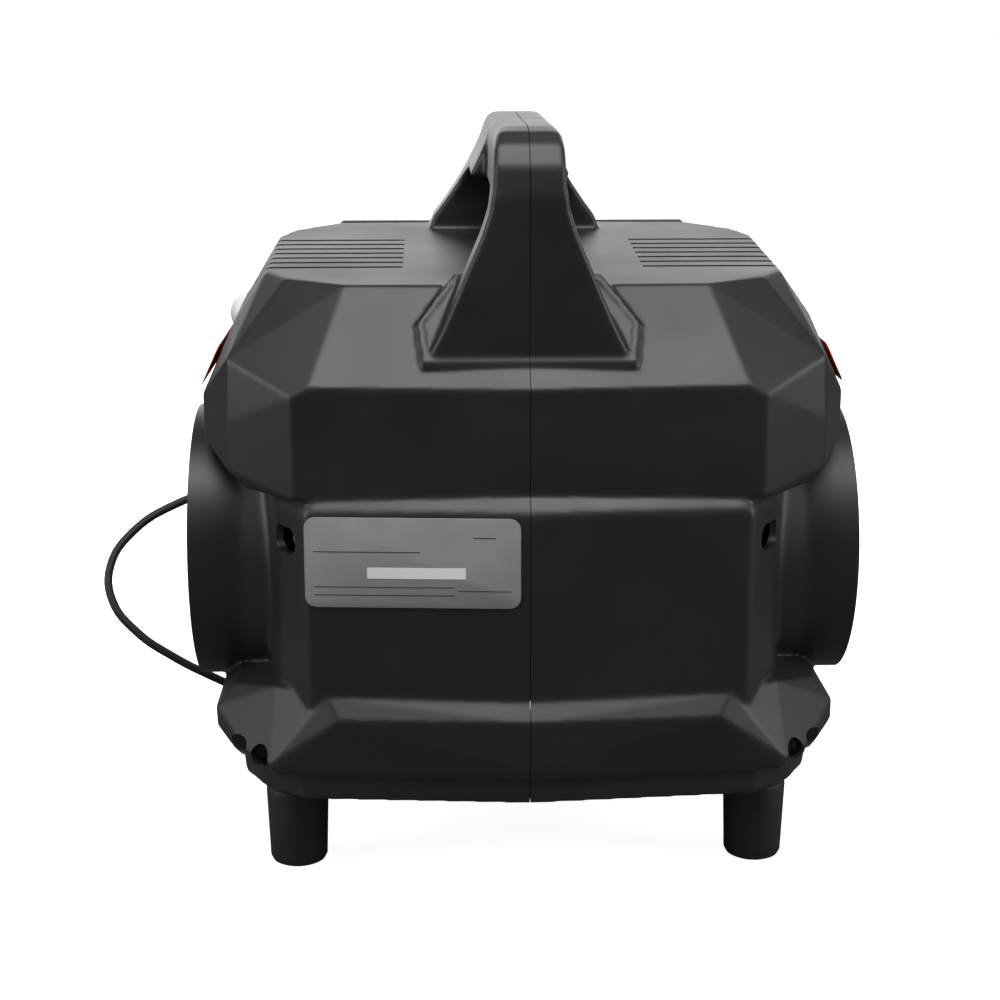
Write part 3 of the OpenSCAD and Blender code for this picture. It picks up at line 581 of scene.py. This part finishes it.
# %% The inside of the case
def make_core():
    """The inside of the case."""
    core = loose(hull(inner(BODY, 51, 250)))
    throat = [(0, 128, 52), (110, 122, 52), (128, 102, 52), (134, 80, 52), (134, 0, 52)]
    throat += [(x, y, 250) for x, y, _ in throat]
    carve(core, [hull(inner(ROOF, 200, 331)), hull(both_ends(throat)),
                 hull(inner(SKIRT, 51, 70))], "UNION")
    for side in SIDES:
        carve(core, [rod(DRUM_R - WALL, 90, 220, along_x(side, z=TANK_Z), 96)], "UNION")
    return core


# %% [markdown]
# The cuts come last. Each column has a deep round counterbore for its case bolt, and a scoop set
# aslant opens it towards the corner, so that a driver can reach in.

# %% Slots, counterbores and pockets
def make_cuts():
    """Slots, counterbores and pockets, as a list of solids."""
    cuts = [block((-109.3, -33.3, -2), (109.3, 33.3, 40), ON_PANEL)]
    cuts += [rod(26, -20, 10, ON_PANEL @ move(x, GAUGE_Y)) for x in (-GAUGE_X, GAUGE_X)]
    cuts += [rod(10, -20, 10, ON_PANEL @ move(0, KNOB_Y))]
    for side in SIDES:
        for y, z, floor in BOLTS:
            cuts.append(rod(HEAD_R, floor, 220, along_x(side, y, z)))
            seat = move(side * (floor + 1), y, z) @ turn_z(math.copysign(SCOOP_TURN, y * side))
            cuts.append(rod(HEAD_R, 1, 60, seat @ Matrix.Rotation(math.radians(90) * side, 4, "Y")))
        for i in range(-3, 4):
            low, high = sorted((side * SLOT_START, side * SLOT_END))
            y = i * SLOT_PITCH
            cuts.append(block((low, y - SLOT_W / 2, 302), (high, y + SLOT_W / 2, 345)))
    cuts += [rod(13, -12, 20, on_front(OUTLET_X)), rod(11, -12, 20, on_front(0))]
    cuts += [block((-13, -15, -12), (13, 15, 20), on_front(-OUTLET_X))]
    cuts += [rod(14, 40, 60, Matrix.Identity(4))]
    cuts += [rod(3.2, 40, 60, move(x, y)) for x, y in FEET]
    cuts.append(rod(6.3, -12, 18, move(-125, 127, 151) @ turn_z(143) @ ALONG_X))
    cuts.append(rod(13, -10, 20, ON_FILTER))
    return cuts


# %% [markdown]
# The case is now put together, thinned, and split on its middle plane. The seam between the two
# halves stays open by SEAM on each side.

# %% Whole case and halves
CASE_FACES = 230000
SEAM = 0.2


def make_case():
    case = blend_edges(make_case_blank(), 1.3, 4)
    carve(case, [block((-DRUM_END, -152, 48), (DRUM_END, 152, HANDLE_TOP))], "INTERSECT")
    thin = case.modifiers.new("thin", "DECIMATE")
    thin.ratio = min(1.0, CASE_FACES / (2 * len(case.data.polygons)))
    bake(case)
    return carve(case, [make_core(), *make_cuts()])


def half_of(case, side):
    half = case.copy()
    half.data = case.data.copy()
    bpy.context.scene.collection.objects.link(half)
    low, high = (SEAM, 200) if side > 0 else (-200, -SEAM)
    return carve(half, [block((low, -200, 0), (high, 200, 450))], "INTERSECT")


# %% [markdown]
# ## Black plastics and rubber
# The case is ABS moulded in a spark-eroded tool, which leaves a fine even grain: it breaks a
# reflection into a soft sheen and never mirrors. The real grain is about 0.1 mm, too fine to show,
# so it is drawn at 0.7 mm and shallow. Rubber is duller, greyer and has no grain, only a bloom.

# %% Finishes for the mouldings
def grained_plastic(name, card, card_b, roughness, grain_mm=0.7, depth_mm=0.012):
    """Moulded plastic with a spark-eroded grain."""
    finish, shader, place = start_finish(name, card, roughness)
    fine = noise(finish, place, grain_mm, 2)
    broad = noise(finish, place, 60, 2)
    join(finish, two_shades(finish, broad, card, card_b), shader, "Base Color")
    join(finish, spread(finish, broad, roughness - 0.03, roughness + 0.04), shader, "Roughness")
    join(finish, relief(finish, fine, depth_mm), shader, "Normal")
    return finish


def moulded_rubber(name, card, card_b):
    """Rubber with a faint bloom."""
    finish, shader, place = start_finish(name, card, 0.62)
    bloom = noise(finish, place, 9, 4)
    join(finish, two_shades(finish, bloom, card, card_b, 0.3, 0.8), shader, "Base Color")
    join(finish, relief(finish, noise(finish, place, 1.1, 2), 0.01), shader, "Normal")
    return finish


case_black = grained_plastic("spark_eroded_abs", "#141415", "#18181a", 0.46)
panel_grey = grained_plastic("satin_abs_panel", "#2b2b2d", "#313134", 0.42, 0.5, 0.008)
control_black = grained_plastic("smooth_nylon", "#0e0e0f", "#131314", 0.34, 0.5, 0.004)
foot_rubber = moulded_rubber("nitrile_rubber", "#161617", "#1e1e1f")
cord_rubber = moulded_rubber("cord_pvc", "#131314", "#1a1a1b")
filter_white = grained_plastic("natural_polypropylene", "#dfe3df", "#d3d8d2", 0.4, 0.8, 0.01)
fan_white = grained_plastic("natural_nylon_fan", "#dedcd4", "#d2cfc5", 0.45)
capacitor_white = grained_plastic("capacitor_can", "#e2e2dd", "#d8d8d2", 0.35)
print("plastics ready")

# %% [markdown]
# ## Metals and paint
# A metal is its own colour with no diffuse light. Turned brass and steel carry rings a few tenths
# of a millimetre apart, cast alloy has a sand grain, copper tube stains, and chrome is nearly a
# mirror. The tank is enamelled, so it is a plastic coat with a slight orange peel.

# %% Finishes for metals, paint and print
def worked_metal(name, card, card_b, roughness, grain_mm, depth_mm, stretch=(1, 1, 1)):
    """A bare metal whose grain may be drawn out along one direction by brushing or turning."""
    finish, shader, place = start_finish(name, card, roughness, 1.0)
    stains = noise(finish, place, 12, 3)
    join(finish, two_shades(finish, stains, card, card_b, 0.3, 0.75), shader, "Base Color")
    join(finish, spread(finish, stains, roughness - 0.05, roughness + 0.08), shader, "Roughness")
    join(finish, relief(finish, noise(finish, place, grain_mm, 2, stretch), depth_mm), shader, "Normal")
    return finish


zinc_steel = worked_metal("zinc_plated_steel", "#b9bcc0", "#a4a8ad", 0.32, 0.8, 0.01)
bright_chrome = worked_metal("chrome_plate", "#d9dcdf", "#cfd3d7", 0.12, 2.0, 0.002)
turned_brass = worked_metal("turned_brass", "#c9a55a", "#b8934a", 0.28, 0.5, 0.008, (1, 6, 1))
cast_alloy = worked_metal("cast_aluminium", "#a9abad", "#93969a", 0.45, 1.2, 0.05)
copper_tube = worked_metal("drawn_copper", "#c07a54", "#9c5b3c", 0.3, 3.0, 0.01)
laminated_steel = worked_metal("laminated_steel", "#7f8286", "#6d7074", 0.4, 0.5, 0.05, (8, 0.2, 0.2))
shaft_steel = worked_metal("ground_steel", "#c2c4c7", "#b3b6ba", 0.2, 0.4, 0.004, (8, 1, 1))


def enamel(name, card, roughness):
    """Sprayed enamel with a slight orange peel."""
    coat = {"Coat Weight": 0.5, "Coat Roughness": 0.15}
    finish, shader, place = start_finish(name, card, roughness, **coat)
    join(finish, relief(finish, noise(finish, place, 2.5, 2), 0.02), shader, "Normal")
    return finish


def printed_foil(name, card, card_b, roughness=0.38):
    """A flat printed label or band, which fades a little."""
    finish, shader, place = start_finish(name, card, roughness)
    join(finish, two_shades(finish, noise(finish, place, 25, 3), card, card_b), shader, "Base Color")
    join(finish, relief(finish, noise(finish, place, 1.5, 2), 0.004), shader, "Normal")
    return finish


tank_black = enamel("tank_enamel", "#1a1a1c", 0.3)
decal_orange = printed_foil("orange_band", "#f0582a", "#ea4f22", 0.36)
plate_silver = printed_foil("silver_label_foil", "#8d8d8f", "#858587", 0.34)
plate_white = printed_foil("label_blank_field", "#e8e8e8", "#dfdfdf", 0.5)
plate_ink = printed_foil("label_rules", "#2c2c2e", "#343436", 0.5)
dial_white = printed_foil("dial_card", "#f2f2ee", "#eaeae4", 0.5)
dial_ink = printed_foil("dial_ink", "#151516", "#1d1d1e", 0.5)
needle_red = enamel("needle_enamel", "#c3201a", 0.4)
rocker_red = grained_plastic("red_rocker_nylon", "#b8160f", "#a9130d", 0.3, 0.5, 0.003)
clear_lens, lens_shader, lens_place = start_finish("clear_polycarbonate", "#f4f8fa", 0.03,
                                                  **{"Transmission Weight": 1.0, "IOR": 1.585})
join(clear_lens, relief(clear_lens, noise(clear_lens, lens_place, 8, 1), 0.01), lens_shader, "Normal")
print("metals, paints and prints ready")

# %% [markdown]
# ## Dressing the case
# Both halves take the grained black plastic. Their seam stays open by a fifth of a millimetre on
# each side, which draws the thin dark line that runs round the middle of the machine.

# %% Show the two halves
case = make_case()
HALVES = [(-1, "left_case_half", "left_shell"), (1, "right_case_half", "right_shell")]
shells = [show(half_of(case, side), name, case_black, replaces=[node], crease=40)
          for side, name, node in HALVES]
bpy.data.objects.remove(case)
print("case halves have", [len(s.data.polygons) for s in shells], "faces")

# %% [markdown]
# ## Turned pieces
# Feet, knobs, gauges and fittings are round. Each is drawn as half of its section and spun about
# its axis, and a small bevel takes the sharpness off its rims.

# %% Helpers for turned and bevelled pieces
def turned(profile, place, steps=72):
    """Spins a section of radius and height, in millimetres, about the Z of its place."""
    bm = bmesh.new()
    verts = [bm.verts.new((r * MM, 0, z * MM)) for r, z in profile]
    edges = [bm.edges.new(pair) for pair in zip(verts, verts[1:])]
    if profile[0][0] and profile[-1][0]:
        edges.append(bm.edges.new((verts[-1], verts[0])))
    bmesh.ops.spin(bm, geom=verts + edges, axis=(0, 0, 1), cent=(0, 0, 0), dvec=(0, 0, 0),
                   angle=math.tau, steps=steps, use_merge=True)
    bmesh.ops.remove_doubles(bm, verts=bm.verts, dist=1e-6)
    bmesh.ops.recalc_face_normals(bm, faces=bm.faces)
    bmesh.ops.transform(bm, matrix=place, verts=bm.verts)
    return bm


def round_rims(solid, width_mm, segments=2, angle=40):
    """Rounds every edge sharper than an angle."""
    rim = solid.modifiers.new("rims", "BEVEL")
    rim.width = width_mm * MM
    rim.segments = segments
    rim.limit_method = "ANGLE"
    rim.angle_limit = math.radians(angle)
    rim.use_clamp_overlap = True
    return bake(solid)


def rounded_outline(width, height, radius, steps=6):
    """A rectangle with round corners, about the middle."""
    corners = [(width / 2 - radius, height / 2 - radius, 0), (radius - width / 2, height / 2 - radius, 90),
               (radius - width / 2, radius - height / 2, 180), (width / 2 - radius, radius - height / 2, 270)]
    return [(x + radius * math.cos(math.radians(turn + 90 * i / steps)),
             y + radius * math.sin(math.radians(turn + 90 * i / steps)))
            for x, y, turn in corners for i in range(steps + 1)]


# %% [markdown]
# ## Feet and side covers
# Four plain rubber feet taper a little towards the floor and meet the case in a thin collar. A
# round cover closes each drum, with three raised rings round a flat boss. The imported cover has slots
# for the motor's cooling air. This outer skin has none.

# %% Feet
def make_foot(name, x, y):
    profile = [(6, 0), (13.3, 0), (14.8, 0.8), (15.9, 3), (17.2, 40), (17.2, 43.5), (16.4, 44.2), (16.4, 45),
               (17.5, 45.6), (17.5, 46.9), (2.8, 46.9), (2.8, 26), (6, 26)]
    foot = round_rims(loose(turned(profile, move(x, y))), 0.5)
    show(foot, name, foot_rubber, replaces=[name.replace("rubber_", "")])


for end, y in (("rear", -106), ("front", 106)):
    for hand, x in (("left", -128), ("right", 128)):
        make_foot(f"rubber_{end}_{hand}_foot", x, y)


# %% Side covers
def make_side_cover(name, side):
    seat = along_x(side, z=TANK_Z) @ move(0, 0, DRUM_END - 5)
    ring = [(76.6, -4), (76.6, 3.2), (73.8, 3.2), (73, 0), (46.6, 0), (46, 2.6), (43.4, 2.6), (42.8, 0),
            (24.6, 0), (24, 3.2), (21.2, 3.2), (20, 1.2), (0, 0.4), (0, -4)]
    cover = round_rims(loose(turned(ring, seat, 128)), 0.5)
    show(cover, name, case_black, replaces=[name.replace("grille", "side_cover")])


make_side_cover("left_grille", -1)
make_side_cover("right_grille", 1)

# %% [markdown]
# ## The rating plate
# A silver foil label with round corners sits on the lower panel, left of the seam. Only its blank
# white field and a few ruled lines are drawn, and it carries no lettering.

# %% Rating plate
PLATE_W, PLATE_H, PLATE_T = 114, 49, 0.8
PLATE_X, PLATE_Z = -62, 181
PLATE_TURN = math.atan2(8, 118)
plate_y = -(144 - 8 * abs(PLATE_X) / 118) - 0.1
ON_PLATE = (move(PLATE_X, plate_y, PLATE_Z) @ Matrix.Rotation(-PLATE_TURN, 4, "Z")
            @ Matrix.Rotation(math.radians(90), 4, "X"))


def make_plate():
    plate = loose(prism(rounded_outline(PLATE_W, PLATE_H, 6), 0, PLATE_T - 0.15, ON_PLATE))
    round_rims(plate, 0.2)
    show(plate, "silver_rating_plate", plate_silver, replaces=["rating_plate"])
    raised = PLATE_T - 0.16
    fields = [("plate_blank_field", plate_white, [(2, -5.5, 52, 6)]),
              ("plate_rules", plate_ink, [(-15, -13.2, 74, 0.35), (-15, -17.6, 74, 0.35), (-24, 6, 56, 0.35),
                                          (38, -15, 28, 0.35), (38, 14, 12, 0.35)])]
    for name, ink, marks in fields:
        spots = [block((x - w / 2, y - h / 2, raised), (x + w / 2, y + h / 2, PLATE_T - 0.02), ON_PLATE)
                 for x, y, w, h in marks]
        show(loose(together(spots)), name, ink)


make_plate()

# %% [markdown]
# ## The control panel and its gauges
# A lighter grey panel drops into a pocket of the slope. Each gauge is a chromed cup with a printed
# dial, a red needle and a domed lens. The dial's scale runs over three quarters of a turn, with a
# long tick for every tenth part of it, and no figures.

# %% Control panel
def make_panel():
    panel = loose(prism(rounded_outline(218, 66, 3), -1.6, 4, ON_PANEL))
    carve(panel, [prism(rounded_outline(213, 61, 3), 2.5, 12, ON_PANEL)])
    holes = [rod(25, -5, 10, ON_PANEL @ move(x, GAUGE_Y), 96) for x in (-GAUGE_X, GAUGE_X)]
    holes += [rod(1.6, -5, 10, ON_PANEL @ move(x, y), 24) for x in (-100, 100) for y in (-24, 24)]
    carve(panel, holes + [rod(8.5, -5, 10, ON_PANEL @ move(0, KNOB_Y))])
    round_rims(panel, 0.6, 3)
    show(panel, "grey_control_panel", panel_grey, replaces=["control_panel"])


make_panel()

# %% Gauges
LENS_R, DOME_H = 24.3, 4.5


def dome(radius, height, base, steps=10):
    """Points on a dome, from its rim to its top."""
    ball = (radius ** 2 + height ** 2) / (2 * height)
    spots = [radius * (1 - i / steps) for i in range(steps + 1)]
    return [(r, base + height - ball + math.sqrt(ball ** 2 - r ** 2)) for r in spots]


def make_gauge(name, x):
    seat = ON_PANEL @ move(x, GAUGE_Y)
    cup = [(0, -16), (2, -16), (2, -32), (5, -32), (5, -20), (24, -20), (24, 2.7), (27, 2.7), (27, 9.4),
           (26.6, 10.3), (25.8, 10.6), (25, 10.3), (24.6, 9.4), (24.6, 4.7), (22, 4.7), (22, -4), (0, -4)]
    show(loose(turned(cup, seat, 96)), name + "_chrome_case", bright_chrome,
         replaces=[name + "_case"])
    card = loose(turned([(1.1, -4), (21.8, -4), (21.8, -3), (1.1, -3)], seat))
    show(card, name + "_card", dial_white, replaces=[name + "_dial"])
    ticks = []
    for i in range(51):
        long = i % 5 == 0
        start, width = (15.5, 0.4) if long else (17.6, 0.22)
        ticks.append(block((start, -width, -3.02), (20, width, -2.96), seat @ turn_z(225 - 5.4 * i)))
    show(loose(together(ticks)), name + "_scale", dial_ink)
    pointing = seat @ turn_z(225)
    outline = [(-5, -0.6), (4, -0.6), (16, -0.2), (16, 0.2), (4, 0.6), (-5, 0.6)]
    needle = loose(prism(outline, -2.2, -1.4, pointing))
    carve(needle, [rod(2.4, -2.2, -0.4, pointing, 32), rod(1, -3.9, -1.6, pointing, 24)], "UNION")
    show(needle, name + "_red_needle", needle_red, body=name.replace("gauge", "needle"),
         replaces=[name + "_needle"])
    glass = [(LENS_R - 1.5, 4.8), (LENS_R, 4.8)] + dome(LENS_R, DOME_H, 10.8)
    glass += list(reversed(dome(LENS_R - 1.5, DOME_H - 0.4, 9.7)))
    show(loose(turned(glass, seat, 96)), name + "_domed_lens", clear_lens,
         replaces=[name + "_lens"])


make_gauge("tank_gauge", -GAUGE_X)
make_gauge("outlet_gauge", GAUGE_X)

# %% [markdown]
# ## Knob, coupler, switch and ring
# The regulator knob is fluted for the fingers and has a dished top. The coupler's sleeve is steel
# with a grip band of fine grooves, and slides back on a brass body. The switch is a red rocker in
# a black bezel.

# %% Regulator knob and coupler sleeve
def make_knob():
    seat = ON_PANEL @ move(0, KNOB_Y)
    profile = [(0, -6), (4, -6), (4, 6.3), (16.4, 6.3), (17, 7), (17, 20.6), (15.8, 22.3), (12.6, 22.3),
               (11.8, 20.8), (0, 20.5)]
    knob = loose(turned(profile, seat, 108))
    carve(knob, [rod(2.2, 7.5, 30, seat @ turn_z(20 * i) @ move(18, 0), 24) for i in range(18)])
    carve(knob, [block((7, -0.6, 20.2), (11, 0.6, 30), seat @ turn_z(90))])
    round_rims(knob, 0.35)
    show(knob, "fluted_regulator_knob", control_black, "knob",
         replaces=["regulator_knob"])


def make_sleeve():
    seat = on_front(OUTLET_X)
    profile = [(6.55, -0.5), (11.7, -0.5), (12, -0.2), (12, 1.7), (11.7, 2), (11, 2.2), (11, 4.6), (10.5, 5),
               (10.5, 5.5), (11, 5.9), (11, 11), (10.5, 11.5), (6.55, 11.5)]
    sleeve = loose(turned(profile, seat, 96))
    carve(sleeve, [rod(0.5, 6.4, 10.6, seat @ turn_z(10 * i) @ move(11.3, 0), 12) for i in range(36)])
    show(sleeve, "grooved_coupler_sleeve", zinc_steel, "sleeve",
         replaces=["coupler_sleeve"])


make_knob()
make_sleeve()


# %% Rocker switch
def make_switch():
    seat = on_front(-OUTLET_X)
    housing = loose(prism(rounded_outline(30, 34, 3), 0.9, 3.5, seat))
    carve(housing, [block((-12.7, -14.7, -24), (12.7, 14.7, 1.5), seat)], "UNION")
    carve(housing, [block((-9, -11, -10), (9, 11, 10), seat),
                    rod(1.55, -10.8, 10.8, seat @ move(0, 0, -1.4) @ ALONG_X, 32)])
    round_rims(housing, 0.5)
    show(housing, "switch_bezel", control_black, replaces=["switch_housing"])
    tilt = seat @ move(0, 0, -1.4) @ Matrix.Rotation(math.radians(10), 4, "X")
    across = tilt @ turn_z(90) @ Matrix.Rotation(math.radians(90), 4, "X")
    side = [(-9, 4.5), (-6.5, 3.7), (-3.5, 3.15), (0, 3), (3.5, 3.15), (6.5, 3.7), (9, 4.5), (8.4, 0.5),
            (2, -3.5), (-2, -3.5), (-8.4, 0.5)]
    rocker = loose(prism(side, -8.5, 8.5, across))
    carve(rocker, [rod(1.5, -10.5, 10.5, across, 32)], "UNION")
    round_rims(rocker, 0.4)
    show(rocker, "red_rocker", rocker_red, "rocker", replaces=["switch_rocker"])


make_switch()

# %% [markdown]
# ## Bands and the intake filter
# An orange band lies on each upper side. The intake filter is a white cap on the left, with small
# slots round it where the pump draws its air.

# %% Side bands and intake filter
def make_bands():
    seats = [move(side * 173.6, -16, 272) @ Matrix.Rotation(math.radians(65) * side, 4, "Y")
             for side in SIDES]
    bands = loose(together([prism(rounded_outline(24, 84, 4), 0, 0.58, seat) for seat in seats]))
    round_rims(bands, 0.15)
    show(bands, "orange_side_bands", decal_orange, replaces=["side_decals"])


def make_filter():
    profile = [(0, -8), (12.6, -8), (12.6, 5.6)] + [(14 * math.sin(a), 14 * math.cos(a)) for a in
                                                   (math.radians(60 - 6 * i) for i in range(11))]
    cap = loose(turned(profile, ON_FILTER, 72))
    carve(cap, [block((9.5, -0.9, -1), (14, 0.9, 5), ON_FILTER @ turn_z(30 * i)) for i in range(12)])
    round_rims(cap, 0.3)
    show(cap, "white_intake_filter", filter_white, replaces=["intake_filter"])


make_bands()
make_filter()

# %% [markdown]
# ## The pieces kept from the model
# The pump, the tank and the fixings stay as the model has them. A weld and a narrow bevel give
# each of them soft rims, and every one takes the finish of its real material.

# %% Finishes for the kept pieces
KEPT = {
    zinc_steel: "case_bolts case_nuts foot_screws panel_screws tank_brackets pump_plate safety_ring",
    shaft_steel: "rotor_shaft",
    laminated_steel: "motor_stator",
    tank_black: "tank",
    turned_brass: "coupler_body safety_valve drain_valve drain_knob check_valve",
    cast_alloy: "regulator_body left_crankcase right_crankcase left_cylinder right_cylinder left_head "
                "right_head left_piston right_piston manifold",
    fan_white: "left_fan right_fan",
    foot_rubber: "rubber_mounts",
    cord_rubber: "strain_relief power_plug",
    copper_tube: "discharge_tube",
    capacitor_white: "run_capacitor",
    control_black: "pressure_switch",
}


WELD_MM = 0.01


def dress(name, finish, rim_mm=0.25):
    """Gives a kept piece its finish and soft rims."""
    piece = nodes[name]
    if not piece.material_slots:
        piece.data.materials.append(finish)
    for slot in piece.material_slots:
        slot.material = finish
    weld = piece.modifiers.new("weld", "WELD")
    weld.merge_threshold = WELD_MM * MM
    rims = piece.modifiers.new("rims", "BEVEL")
    rims.width = rim_mm * MM
    rims.segments = 2
    rims.limit_method = "ANGLE"
    rims.angle_limit = math.radians(40)


for finish, names in KEPT.items():
    for name in names.split():
        dress(name, finish)
cord.data.materials.append(cord_rubber)
print(len(nodes), "nodes,", sum(len(names.split()) for names in KEPT.values()), "kept from the model")
